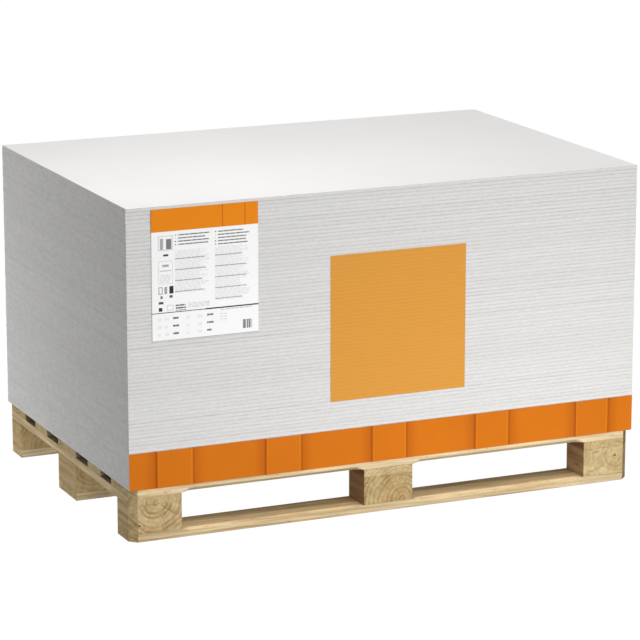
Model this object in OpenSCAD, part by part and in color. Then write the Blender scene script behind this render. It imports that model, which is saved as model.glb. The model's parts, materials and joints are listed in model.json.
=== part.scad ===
// Pallet load of drywall: a stack of square-edged gypsum fibre sheets on a wooden
// four-way pallet, with a coloured band, a paper label and a coloured square on its front.
// Sizes are in millimetres. +Z is up, +X runs along the sheets and the front faces -Y.
// The origin is on the floor under the middle of the pallet.

/* [Sheets] */
// Length of a sheet
sheet_l = 1500; // [1300:10:2000]
// Width of a sheet
sheet_w = 1000; // [900:10:1250]
// Thickness of a sheet
sheet_t = 10; // [8:0.5:15]
// Number of sheets in the stack
sheet_count = 75; // [60:1:90]
// Air between two sheets that lie on each other
sheet_gap = 0.05; // [0.02:0.01:0.2]
// Bevel that the saw and handling leave along a sheet's edges
sheet_arris = 0.6; // [0.2:0.1:1.5]
// Furthest that a sheet lies off the middle of the stack
sheet_wander = 0.4; // [0:0.1:1]

/* [Pallet] */
// How far the sheets reach past the pallet on every side
overhang = 3; // [0:1:25]
// Legs of the cut across the four upright corners
corner_cut = 21; // [5:1:30]
// Thickness of the deck boards
deck_t = 22; // [18:1:30]
// Width of the outer deck boards
deck_outer_w = 145; // [100:1:160]
// Width of the middle deck board
deck_middle_w = 145; // [100:1:160]
// Width of the two deck boards between them
deck_inner_w = 100; // [70:1:120]
// How far those two lie outside the middle of their space
deck_inner_shift = 6; // [-10:1:10]
// Thickness of the cross boards under the deck
cross_t = 22; // [18:1:30]
// Width of the cross boards, and of the blocks under them
cross_w = 145; // [100:1:160]
// Height of the blocks
block_h = 78; // [70:1:100]
// Thickness of the base boards
base_t = 22; // [18:1:30]
// Width of the outer base boards, and depth of the blocks on them
base_outer_w = 100; // [80:1:145]
// Width of the middle base board, and depth of the blocks on it
base_middle_w = 145; // [100:1:160]

/* [Fork bevels] */
// Depth of the bevel under the outer edges of the deck
deck_bevel_w = 15; // [5:1:20]
// Height of that bevel
deck_bevel_h = 11; // [5:1:15]
// Depth of the bevels along the upper edges of the base boards
base_bevel_w = 15; // [5:1:20]
// Height of those bevels
base_bevel_h = 7; // [3:1:12]
// Length over which a bevel runs out beside a block
bevel_run_out = 24; // [10:1:60]

/* [Papers on the front] */
// Air between the foremost sheet and the papers
paper_gap = 0.1; // [0.05:0.05:0.4]
// Thickness of the band's card
band_t = 0.6; // [0.3:0.1:1]
// Height of the band
band_h = 100; // [60:5:150]
// Number of raised panels on the band
panel_count = 5; // [2:1:6]
// Distance of the outermost panels from the band's ends
panel_margin = 78; // [20:1:150]
// Width of a panel
panel_w = 100; // [60:5:140]
// How far a panel stands out of the band
panel_rise = 1.6; // [0.5:0.1:3]
// Width of the folds beside a panel
panel_fold = 3; // [1:0.5:8]
// Thickness of the label's paper
label_t = 0.3; // [0.2:0.1:0.6]
// Width of the label
label_w = 300; // [200:5:320]
// Height of the label
label_h = 350; // [200:5:380]
// Distance of the label from the left end of the stack
label_inset = 68; // [20:1:120]
// Distance of the label from the top of the stack
label_drop = 8; // [2:1:20]
// Thickness of the square's film
square_t = 0.3; // [0.2:0.1:0.6]
// Side of the square
square_side = 400; // [250:5:420]
// How far the square lies right of the middle of the front
square_shift = 26; // [0:1:120]
// How far it lies above the middle of the front
square_lift = 3; // [-10:1:20]

/* [Hidden] */
// The pallet's plan, and the heights of its layers from the floor up
pallet_l = sheet_l - 2 * overhang;
pallet_w = sheet_w - 2 * overhang;
block_z = base_t;
cross_z = block_z + block_h;
deck_z = cross_z + cross_t;
stack_z = deck_z + deck_t;

// The stack, and how far each sheet wanders from its middle
sheet_pitch = sheet_t + sheet_gap;
stack_h = sheet_count * sheet_pitch - sheet_gap;
wander_seed = 7;
wander_x = rands(-sheet_wander, sheet_wander, sheet_count, wander_seed);
wander_y = rands(-sheet_wander, sheet_wander, sheet_count, wander_seed + 1);
papers_y = -(sheet_w / 2 + sheet_wander + paper_gap);

// Columns of blocks along X, rows of blocks along Y, and the clear bays between columns
column_x = (pallet_l - cross_w) / 2;
columns_x = [-column_x, 0, column_x];
row_y = (pallet_w - base_outer_w) / 2;
rows_y = [-row_y, 0, row_y];
rows_w = [base_outer_w, base_middle_w, base_outer_w];
bay_l = column_x - cross_w;
bays_x = [-column_x / 2, column_x / 2];

// Deck boards from the front to the back
deck_outer_y = (pallet_w - deck_outer_w) / 2;
deck_inner_y = (pallet_w / 2 - deck_outer_w + deck_middle_w / 2) / 2 + deck_inner_shift;
decks_y = [-deck_outer_y, -deck_inner_y, 0, deck_inner_y, deck_outer_y];
decks_w = [deck_outer_w, deck_inner_w, deck_middle_w, deck_inner_w, deck_outer_w];

SHEET_COLOUR = [0.88, 0.88, 0.87];
WOOD_COLOUR = [0.83, 0.74, 0.55];
BLOCK_COLOUR = [0.78, 0.68, 0.47];
BAND_COLOUR = [0.88, 0.47, 0.11];
LABEL_COLOUR = [0.95, 0.95, 0.94];
SQUARE_COLOUR = [0.88, 0.62, 0.29];

DECKS = [for (place = ["front", "front_inner", "middle", "back_inner", "back"])
    str("deck_board_", place)];
CROSSES = [for (place = ["left", "centre", "right"]) str("cross_board_", place)];
BASES = [for (place = ["front", "middle", "back"]) str("base_board_", place)];
BLOCKS = [for (row = ["front", "middle", "back"], column = ["left", "centre", "right"])
    str("block_", row, "_", column)];

// Rectangle about the origin with its corners bevelled
module bevelled_rectangle(w, h, bevel) {
    x = w / 2;
    y = h / 2;
    polygon([
        [x, bevel - y], [x, y - bevel], [x - bevel, y], [bevel - x, y],
        [-x, y - bevel], [-x, bevel - y], [bevel - x, -y], [x - bevel, -y]
    ]);
}

// One sheet about the origin, with the bevel along all its long edges
module sheet() {
    intersection() {
        rotate([90, 0, 0])
            linear_extrude(sheet_w, center = true)
                bevelled_rectangle(sheet_l, sheet_t, sheet_arris);
        rotate([90, 0, 90])
            linear_extrude(sheet_l, center = true)
                bevelled_rectangle(sheet_w, sheet_t, sheet_arris);
    }
}

// The whole stack, from the deck up
module sheets() {
    color(SHEET_COLOUR)
        for (i = [0 : sheet_count - 1])
            translate([wander_x[i], wander_y[i], stack_z + sheet_t / 2 + i * sheet_pitch])
                sheet();
}

// A piece of the pallet: a rectangle of the plan, inside the sawn-off corners
module sawn(z, t, centre, size) {
    translate([0, 0, z])
        linear_extrude(t)
            intersection() {
                bevelled_rectangle(pallet_l, pallet_w, corner_cut);
                translate(centre)
                    square(size, center = true);
            }
}

// What a cutter takes off an edge along X at the origin: w along +Y and h along +Z over
// the clear bay, less and less over the run-outs, and nothing at the two blocks
module stopped_bevel(w, h) {
    depth = w * h / norm([w, h]);
    x = bay_l / 2;
    rotate([atan2(w, h), 0, 0])
        linear_extrude(2 * (w + h), center = true)
            polygon([
                [-x - bevel_run_out, -depth], [x + bevel_run_out, -depth],
                [x - bevel_run_out, depth], [bevel_run_out - x, depth]
            ]);
}

// A deck board; the outer two are bevelled for the forks below their outer edge
module deck_board(i) {
    side = sign(decks_y[i]);
    color(WOOD_COLOUR)
        difference() {
            sawn(deck_z, deck_t, [0, decks_y[i]], [pallet_l, decks_w[i]]);
            if (abs(decks_y[i]) == deck_outer_y)
                for (x = bays_x)
                    translate([x, side * pallet_w / 2, deck_z])
                        mirror([0, side > 0 ? 1 : 0, 0])
                            stopped_bevel(deck_bevel_w, deck_bevel_h);
        }
}

// A cross board under the deck
module cross_board(column) {
    color(WOOD_COLOUR)
        sawn(cross_z, cross_t, [columns_x[column], 0], [cross_w, pallet_w]);
}

// A block between a base board and a cross board
module block(row, column) {
    color(BLOCK_COLOUR)
        sawn(block_z, block_h, [columns_x[column], rows_y[row]], [cross_w, rows_w[row]]);
}

// A base board, bevelled along its upper edges so that truck wheels climb it: the middle
// one along both, the others along the outer one
module base_board(row) {
    sides = rows_y[row] == 0 ? [-1, 1] : [sign(rows_y[row])];
    color(WOOD_COLOUR)
        difference() {
            sawn(0, base_t, [0, rows_y[row]], [pallet_l, rows_w[row]]);
            for (x = bays_x, side = sides)
                translate([x, rows_y[row] + side * rows_w[row] / 2, base_t])
                    mirror([0, side > 0 ? 1 : 0, 0])
                        mirror([0, 0, 1])
                            stopped_bevel(base_bevel_w, base_bevel_h);
        }
}

// The band along the foot of the front, folded out over its panels
module band() {
    end = sheet_l / 2;
    first = panel_margin + panel_w / 2 - end;
    panel_pitch = -2 * first / (panel_count - 1);
    panels = [
        for (i = [0 : panel_count - 1], side = [-1, 1])
            let (edge = first + i * panel_pitch + side * panel_w / 2)
                side < 0
                    ? [[edge - panel_fold, -band_t], [edge, -band_t - panel_rise]]
                    : [[edge, -band_t - panel_rise], [edge + panel_fold, -band_t]]
    ];
    outline = concat([[end, -band_t], [end, 0], [-end, 0], [-end, -band_t]], [for (p = panels) each p]);
    color(BAND_COLOUR)
        translate([0, papers_y, stack_z])
            linear_extrude(band_h)
                polygon(outline);
}

// A paper on the front, given by its lower left corner
module paper(x, z, w, h, t) {
    translate([x, papers_y - t, z])
        cube([w, t, h]);
}

// The label near the upper left corner of the front
module label() {
    color(LABEL_COLOUR)
        paper(label_inset - sheet_l / 2, stack_z + stack_h - label_drop - label_h, label_w, label_h, label_t);
}

// The coloured square near the middle of the front
module square_film() {
    x = square_shift - square_side / 2;
    z = stack_z + stack_h / 2 + square_lift - square_side / 2;
    color(SQUARE_COLOUR)
        paper(x, z, square_side, square_side, square_t);
}

sheets();
for (i = [0 : 4])
    deck_board(i);
for (column = [0 : 2])
    cross_board(column);
for (row = [0 : 2], column = [0 : 2])
    block(row, column);
for (row = [0 : 2])
    base_board(row);
band();
label();
square_film();  // square
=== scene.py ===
"""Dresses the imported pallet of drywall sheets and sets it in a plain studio.

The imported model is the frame: each piece here takes its place and size from a CAD node. The classes
are the stack of sheets, the pallet's wood and nails, the band, label and square on the front, and
the studio. Lengths are in metres, with the floor at zero, X along the sheets and the front facing -Y.
"""

import json
import logging
import math
import random
from dataclasses import dataclass
from enum import Enum

import bmesh
import bpy
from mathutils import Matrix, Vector

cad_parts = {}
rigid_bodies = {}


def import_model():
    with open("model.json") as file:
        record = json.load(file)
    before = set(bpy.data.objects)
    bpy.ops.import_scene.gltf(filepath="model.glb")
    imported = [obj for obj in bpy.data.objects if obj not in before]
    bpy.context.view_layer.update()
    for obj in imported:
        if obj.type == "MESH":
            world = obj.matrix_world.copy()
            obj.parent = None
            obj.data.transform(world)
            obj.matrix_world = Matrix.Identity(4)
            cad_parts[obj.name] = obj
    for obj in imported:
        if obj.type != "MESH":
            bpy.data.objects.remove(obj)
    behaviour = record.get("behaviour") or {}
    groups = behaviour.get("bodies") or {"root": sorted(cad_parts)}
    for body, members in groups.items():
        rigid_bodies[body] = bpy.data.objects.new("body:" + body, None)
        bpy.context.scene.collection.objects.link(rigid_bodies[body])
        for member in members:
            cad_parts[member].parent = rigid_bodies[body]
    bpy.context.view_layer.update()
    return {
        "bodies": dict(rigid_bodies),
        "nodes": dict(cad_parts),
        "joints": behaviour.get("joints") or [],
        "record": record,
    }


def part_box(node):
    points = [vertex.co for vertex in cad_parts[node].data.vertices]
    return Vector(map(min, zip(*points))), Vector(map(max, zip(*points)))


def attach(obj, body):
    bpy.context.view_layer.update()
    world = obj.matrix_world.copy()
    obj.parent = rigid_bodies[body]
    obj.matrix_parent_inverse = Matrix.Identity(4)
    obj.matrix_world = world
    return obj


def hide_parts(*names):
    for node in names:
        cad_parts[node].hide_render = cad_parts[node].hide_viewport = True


MM = 0.001
BODY = "root"
LOG = logging.getLogger("pallet_load")
ROWS = ("front", "middle", "back")
COLUMNS = ("left", "centre", "right")
WHITE = (1.0, 1.0, 1.0, 1.0)

# Most of a cloud noise lies in the first span, and nearly all of it in the second
CLOUD_SPAN = (0.3, 0.7)
WIDE_CLOUD_SPAN = (0.25, 0.75)

# Lengths that differ by less than this are the same
TINY = 1e-6

# A paper's faces that turn by more degrees than this meet in a sharp edge
PAPER_SHARP = 50.0

Pair = tuple[float, float]
Span = Pair
Triple = tuple[float, float, float]
Quad = tuple[float, float, float, float]
Quint = tuple[float, float, float, float, float]
Colour = Triple
Piece = bpy.types.Object
Material = bpy.types.Material
Face = bpy.types.MeshPolygon
Mesh = bmesh.types.BMesh
Vertex = bmesh.types.BMVert
Socket = bpy.types.NodeSocket
Feed = Socket | float | tuple | None


class Grain(Enum):
    """The way a piece of wood's fibres run."""

    ALONG_X = 0
    ALONG_Y = 1


class Mark(Enum):
    """A kind of plain print on the label."""

    SOLID = "solid"
    FRAME = "frame"
    LINES = "lines"
    BARS = "bars"


class Input(Enum):
    """The kinds of named input that a shape tree has."""

    LENGTH = "NodeSocketFloat"
    COUNT = "NodeSocketInt"
    PIECE = "NodeSocketObject"
    FINISH = "NodeSocketMaterial"


class Bench:
    """Adds nodes to one tree, sets their sockets and links them."""

    def __init__(self, tree: bpy.types.NodeTree) -> None:
        """Keep the tree to work on."""
        self.tree = tree

    def add(
        self, kind: str, feeds: dict[str | int, Feed] | None = None, **settings: object
    ) -> bpy.types.Node:
        """Add one node.

        Args:
            kind: Blender's identifier of the node.
            feeds: links or values for its inputs, by name or place.
            settings: the node's own properties.

        Returns:
            The new node.
        """
        node = self.tree.nodes.new(kind)
        for name, value in settings.items():
            setattr(node, name, value)
        for key, value in (feeds or {}).items():
            if isinstance(value, Socket):
                self.tree.links.new(value, node.inputs[key])
            else:
                node.inputs[key].default_value = value
        return node

    def math(self, operation: str, first: Feed, second: Feed = 0.0, third: Feed = 0.0) -> Socket:
        """Do one sum, by Blender's name of it, with up to three links or values."""
        feeds = {0: first, 1: second, 2: third}
        return self.add("ShaderNodeMath", feeds, operation=operation).outputs[0]

    def times(self, first: Feed, *others: Feed) -> Socket:
        """Multiply numbers.

        Args:
            first: the first link or value.
            others: the links and values to multiply it by.

        Returns:
            The product's socket.
        """
        product = first
        for other in others:
            product = self.math("MULTIPLY", product, other)
        return product

    def swing(self, pattern: Socket, spread: Feed, middle: Feed) -> Socket:
        """Let a number swing about its middle by a spread, as a pattern from 0 to 1 says."""
        return self.math("MULTIPLY_ADD", self.math("SUBTRACT", pattern, 0.5), spread, middle)

    def apart(self, first: Feed, second: Feed) -> Socket:
        """Measure how far two numbers lie apart."""
        return self.math("ABSOLUTE", self.math("SUBTRACT", first, second))

    def ramp(self, value: Feed, low: float, high: float, start: Feed = 0.0, end: Feed = 1.0) -> Socket:
        """Turn a value from low to high into one from start to end, smoothly and clamped."""
        feeds = {0: value, 1: low, 2: high, 3: start, 4: end}
        return self.add("ShaderNodeMapRange", feeds, interpolation_type="SMOOTHSTEP").outputs[0]

    def hump(self, value: Feed, rise: Span, fall: Span) -> Socket:
        """Rise from 0 to 1 over one span of a value and fall back over another."""
        return self.times(self.ramp(value, *rise), self.ramp(value, *fall, 1.0, 0.0))

    def blend(self, share: Feed, first: Feed, second: Feed, way: str = "MIX") -> Socket:
        """Mix two colours.

        Args:
            share: how much of the second colour comes in.
            first: the first link or colour.
            second: the second link or colour.
            way: Blender's name of the mix.

        Returns:
            The mixed colour's socket.
        """
        feeds = {0: share, 6: self.colour(first), 7: self.colour(second)}
        node = self.add("ShaderNodeMix", feeds, data_type="RGBA", blend_type=way)
        return node.outputs[2]

    @staticmethod
    def colour(value: Feed) -> Feed:
        """Give a plain colour its alpha and pass a link on."""
        return value if isinstance(value, Socket) else (*value, 1.0)

    def plain(self, value: Colour) -> Socket:
        """Give one colour as a socket."""
        socket = self.add("ShaderNodeRGB").outputs[0]
        socket.default_value = (*value, 1.0)
        return socket

    def dim(self, vector: Socket, factor: Socket) -> Socket:
        """Multiply a colour or another vector by one number."""
        feeds = {0: vector, "Scale": factor}
        return self.add("ShaderNodeVectorMath", feeds, operation="SCALE").outputs[0]

    def vector(self, operation: str, first: Socket, second: Feed = (0.0, 0.0, 0.0)) -> Socket:
        """Do one sum on whole vectors, by Blender's name of it."""
        feeds = {0: first, 1: second}
        return self.add("ShaderNodeVectorMath", feeds, operation=operation).outputs[0]

    def noise(self, place: Socket, detail: float, rough: float) -> Socket:
        """Read a cloud noise from 0 to 1, with finer layers so many and so strong."""
        feeds = {"Vector": place, "Scale": 1.0, "Detail": detail, "Roughness": rough}
        return self.add("ShaderNodeTexNoise", feeds).outputs[0]

    def chance(self, number: Socket) -> Socket:
        """Draw a fixed number from 0 to 1 for each whole number."""
        return self.add("ShaderNodeTexWhiteNoise", {"W": number}, noise_dimensions="1D").outputs[0]

    def attribute(self, name: str, output: str = "Fac") -> Socket:
        """Read a mesh's own named attribute."""
        return self.add("ShaderNodeAttribute", attribute_name=name).outputs[output]

    def parts(self, vector: Socket) -> list[Socket]:
        """Split a vector into its three numbers."""
        return list(self.add("ShaderNodeSeparateXYZ", {0: vector}).outputs)


@dataclass(frozen=True)
class Cloud:
    """A cloud noise: its repeats per metre along each axis, its finer layers and their strength."""

    repeats: Triple
    detail: float = 2.0
    rough: float = 0.5

    def read(self, bench: Bench, place: Socket) -> Socket:
        """Read the noise, from 0 to 1, at a place."""
        return bench.noise(bench.vector("MULTIPLY", place, self.repeats), self.detail, self.rough)


class Coat:
    """A new material with one plain surface shader, and the bench that its pattern is built on."""

    def __init__(self, name: str, roughness: float, specular: float) -> None:
        """Make the material.

        Args:
            name: the material's name.
            roughness: the surface's roughness, the same all over.
            specular: the strength of its plain reflection.
        """
        self.material = bpy.data.materials.new(name)
        self.material.use_nodes = True
        self.bench = Bench(self.material.node_tree)
        self.surface = self.material.node_tree.nodes["Principled BSDF"]
        self.place = self.bench.add("ShaderNodeTexCoord").outputs["Object"]
        self.fix("Roughness", roughness)
        self.fix("Specular IOR Level", specular)

    def fix(self, name: str, value: float | tuple) -> None:
        """Set what is the same all over the surface."""
        self.surface.inputs[name].default_value = value

    def paint(self, colour: Socket) -> None:
        """Feed the surface's colour."""
        self.bench.tree.links.new(colour, self.surface.inputs["Base Color"])

    def emboss(self, height: Socket, depth: float, strength: float) -> None:
        """Feed the surface's fine relief.

        Args:
            height: the relief, from 0 to 1.
            depth: how deep the relief is.
            strength: how much of it shows.
        """
        feeds = {"Strength": strength, "Distance": depth, "Height": height}
        bump = self.bench.add("ShaderNodeBump", feeds)
        self.bench.tree.links.new(bump.outputs[0], self.surface.inputs["Normal"])


class ShapeTree:
    """A Geometry Nodes tree with named inputs, run on a piece and turned into its plain mesh."""

    def __init__(self, name: str) -> None:
        """Start a tree with a geometry going in and one coming out."""
        self.tree = bpy.data.node_groups.new(name, "GeometryNodeTree")
        self.bench = Bench(self.tree)
        self.sockets: dict[str, str] = {}
        for way in ("INPUT", "OUTPUT"):
            self.tree.interface.new_socket(name="Geometry", in_out=way, socket_type="NodeSocketGeometry")
        self.entry = self.bench.add("NodeGroupInput")
        self.exit = self.bench.add("NodeGroupOutput")

    def ask(self, **kinds: Input) -> list[Socket]:
        """Add named inputs.

        Args:
            kinds: what each input takes, by its name.

        Returns:
            Their sockets inside the tree.
        """
        for name, kind in kinds.items():
            socket = self.tree.interface.new_socket(name=name, in_out="INPUT", socket_type=kind.value)
            self.sockets[name] = socket.identifier
        return [self.entry.outputs[name] for name in kinds]

    def scatter(self, piece: Socket, **feeds: Socket) -> Socket:
        """Set an instance of a piece at each point that comes in.

        Args:
            piece: the piece to repeat.
            feeds: further links for the instances, by the input's name.

        Returns:
            The instances.
        """
        shape = self.bench.add("GeometryNodeObjectInfo", {"Object": piece}).outputs["Geometry"]
        feeds |= {"Points": self.entry.outputs["Geometry"], "Instance": shape}
        return self.bench.add("GeometryNodeInstanceOnPoints", feeds).outputs[0]

    def draw(self, most: Feed, seed: Socket) -> Socket:
        """Draw a random number from zero up for each point or instance."""
        feeds = {2: 0.0, 3: most, 8: seed}
        return self.bench.add("FunctionNodeRandomValue", feeds, data_type="FLOAT").outputs[1]

    def end(self, shape: Socket, finish: Socket) -> None:
        """Realize what is still an instance, give it its finish and send it out.

        Args:
            shape: the finished shape.
            finish: the material's socket.
        """
        real = self.bench.add("GeometryNodeRealizeInstances", {0: shape}).outputs[0]
        dressed = self.bench.add("GeometryNodeSetMaterial", {"Geometry": real, "Material": finish})
        self.tree.links.new(dressed.outputs[0], self.exit.inputs[0])

    def run(self, piece: Piece, **values: object) -> None:
        """Run the tree on a piece, which keeps the result as its plain mesh.

        Args:
            piece: the object that the tree starts from.
            values: the value of each named input.
        """
        modifier = piece.modifiers.new(self.tree.name, "NODES")
        modifier.node_group = self.tree
        for name, value in values.items():
            modifier[self.sockets[name]] = value
        settle(piece)


def stand(name: str, data: bpy.types.ID) -> Piece:
    """Put a mesh, a lamp or a camera in the scene as an object.

    Args:
        name: the object's name.
        data: what it holds.

    Returns:
        The new object, at the origin.
    """
    piece = bpy.data.objects.new(name, data)
    bpy.context.scene.collection.objects.link(piece)
    return piece


def link(name: str, mesh: Mesh, *materials: Material) -> Piece:
    """Turn an edited mesh into an object at the origin.

    Args:
        name: the object's name.
        mesh: the edited mesh, which is freed.
        materials: the object's materials, in the order of their slots.

    Returns:
        The new object, linked to the scene.
    """
    data = bpy.data.meshes.new(name)
    mesh.to_mesh(data)
    mesh.free()
    for material in materials:
        data.materials.append(material)
    return stand(name, data)


def bridge(mesh: Mesh, rows: list[list[Vertex]], closed: bool, smooth: bool) -> None:
    """Fill the faces between neighbouring rows of vertices.

    Args:
        mesh: the mesh that the vertices are in.
        rows: the rows, all of one length.
        closed: whether each row is a loop, with a cap on the first and the last.
        smooth: whether the faces between the rows are shaded smooth.
    """
    count = len(rows[0])
    for lower, upper in zip(rows, rows[1:]):
        for i in range(count if closed else count - 1):
            j = (i + 1) % count
            face = mesh.faces.new((lower[i], lower[j], upper[j], upper[i]))
            face.smooth = smooth
    if closed:
        mesh.faces.new(list(reversed(rows[0])))
        mesh.faces.new(rows[-1])


def settle(piece: Piece) -> None:
    """Put the plain mesh that a piece's modifiers make in their place.

    Args:
        piece: the object with live modifiers.
    """
    graph = bpy.context.evaluated_depsgraph_get()
    graph.update()
    made = bpy.data.meshes.new_from_object(piece.evaluated_get(graph), depsgraph=graph)
    spent = piece.data
    piece.modifiers.clear()
    piece.data = made
    bpy.data.meshes.remove(spent)
    made.name = piece.name


def crisp(piece: Piece, degrees: float) -> None:
    """Keep a piece's edges sharp where its faces turn by more than an angle."""
    piece.data.set_sharp_from_angle(angle=math.radians(degrees))


def thicken(piece: Piece, thick: float) -> Piece:
    """Give a piece of paper its thickness, behind the face that shows.

    Args:
        piece: the paper's face.
        thick: its thickness.

    Returns:
        The same object.
    """
    wall = piece.modifiers.new("thickness", "SOLIDIFY")
    wall.thickness = thick
    wall.offset = -1.0
    settle(piece)
    crisp(piece, PAPER_SHARP)
    return piece


def hand_over(piece: Piece, slot: str | None, *nodes: str) -> None:
    """Fix a finished piece to the frame and report it.

    Args:
        piece: the finished object.
        slot: the record's material slot, if it has one; not used.
        nodes: the CAD nodes that it stands for.
    """
    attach(piece, BODY)
    if nodes:
        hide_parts(*nodes)
    triangles = sum(len(face.vertices) - 2 for face in piece.data.polygons)
    LOG.info("%s: %d triangles", piece.name, triangles)


def extent(points: list[Vector]) -> tuple[Vector, Vector]:
    """Find the box around some points.

    Args:
        points: the points.

    Returns:
        The box's lowest and highest corners.
    """
    least = Vector([min(co[axis] for co in points) for axis in range(3)])
    most = Vector([max(co[axis] for co in points) for axis in range(3)])
    return least, most


def steps(start: float, end: float, longest: float) -> list[float]:
    """Divide a length evenly.

    Args:
        start: the first place.
        end: the last place.
        longest: the longest step allowed.

    Returns:
        The places from start to end, both among them.
    """
    count = max(1, math.ceil(abs(end - start) / longest - TINY))
    return [start + (end - start) * i / count for i in range(count + 1)]


def ease(value: float) -> float:
    """Smooth a number that is held between 0 and 1."""
    held = min(1.0, max(0.0, value))
    return held * held * (3.0 - 2.0 * held)


@dataclass(frozen=True)
class GypsumFinish:
    """Pressed gypsum fibre: a smooth chalky face and sawn edges, with grey painted shade in the joints and
    painted shade on the faces that look down.
    """

    face: Colour = (0.86, 0.850, 0.836)
    edge: Colour = (0.688, 0.680, 0.669)
    # joint and the joint settings below: grey painted shade in the grooves between the sheets
    joint: Colour = (0.36, 0.355, 0.347)
    joint_share: float = 0.25
    joint_spread: Span = (0.65, 1.25)
    joint_fade: Span = (0.4, 1.6)
    joint_draws: float = 17.0
    tone_spread: float = 0.02
    face_tone: Span = (0.985, 1.01)
    # underside: painted shade on the sawn faces that look down
    underside: float = 0.35
    streak_spread: float = 0.07
    fleck_spread: float = 0.08
    patch_spread: Span = (0.21, 0.28)
    streaks: Cloud = Cloud((22.0, 22.0, 420.0), 3.0, 0.6)
    flecks: Cloud = Cloud((210.0, 210.0, 210.0), 3.0, 0.65)
    patches: Cloud = Cloud((75.0, 36.0, 120.0), 2.0, 0.6)
    clouds: Cloud = Cloud((2.2, 2.2, 2.2), 3.0, 0.55)
    fades: Cloud = Cloud((17.0, 17.0, 120.0), 3.0, 0.65)
    upward: Span = (0.6, 0.95)
    shaded_downward: Span = (-0.95, -0.6)
    endward: Span = (0.3, 0.7)

    def material(self) -> Material:
        """Build the chalky face, the streaked edges, the joints' grey painted shade and the painted shade on
        faces that look down.

        Returns:
            The material.
        """
        coat = Coat("gypsum_fibre", roughness=0.9, specular=0.05)
        bench = coat.bench
        normal = bench.parts(bench.add("ShaderNodeNewGeometry").outputs["Normal"])
        tone = bench.attribute("tone")
        flecks = self.flecks.read(bench, coat.place)
        patched = bench.ramp(bench.math("ABSOLUTE", normal[0]), *self.endward, *self.patch_spread)
        shade = bench.ramp(tone, 0.0, 1.0, 1.0 - self.tone_spread, 1.0 + self.tone_spread)
        shade = bench.swing(self.streaks.read(bench, coat.place), self.streak_spread, shade)
        shade = bench.swing(flecks, self.fleck_spread, shade)
        shade = bench.swing(self.patches.read(bench, coat.place), patched, shade)
        # grey painted shade in the joints, its strength varying by sheet and fading in patches
        draw = bench.math("FRACT", bench.times(tone, self.joint_draws))
        spread = bench.ramp(draw, 0.0, 1.0, *self.joint_spread)
        fade = bench.ramp(self.fades.read(bench, coat.place), *CLOUD_SPAN, *self.joint_fade)
        joint_shade = bench.times(bench.attribute("joint"), self.joint_share, spread, fade)
        sawn = bench.blend(joint_shade, bench.dim(bench.plain(self.edge), shade), self.joint)
        # painted shade on the sawn faces that look down
        sawn = bench.dim(sawn, bench.ramp(normal[2], *self.shaded_downward, self.underside, 1.0))
        even = bench.ramp(self.clouds.read(bench, coat.place), *CLOUD_SPAN, *self.face_tone)
        smooth = bench.dim(bench.plain(self.face), even)
        coat.paint(bench.blend(bench.ramp(normal[2], *self.upward), sawn, smooth))
        coat.emboss(flecks, depth=0.4 * MM, strength=0.3)
        return coat.material


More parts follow.
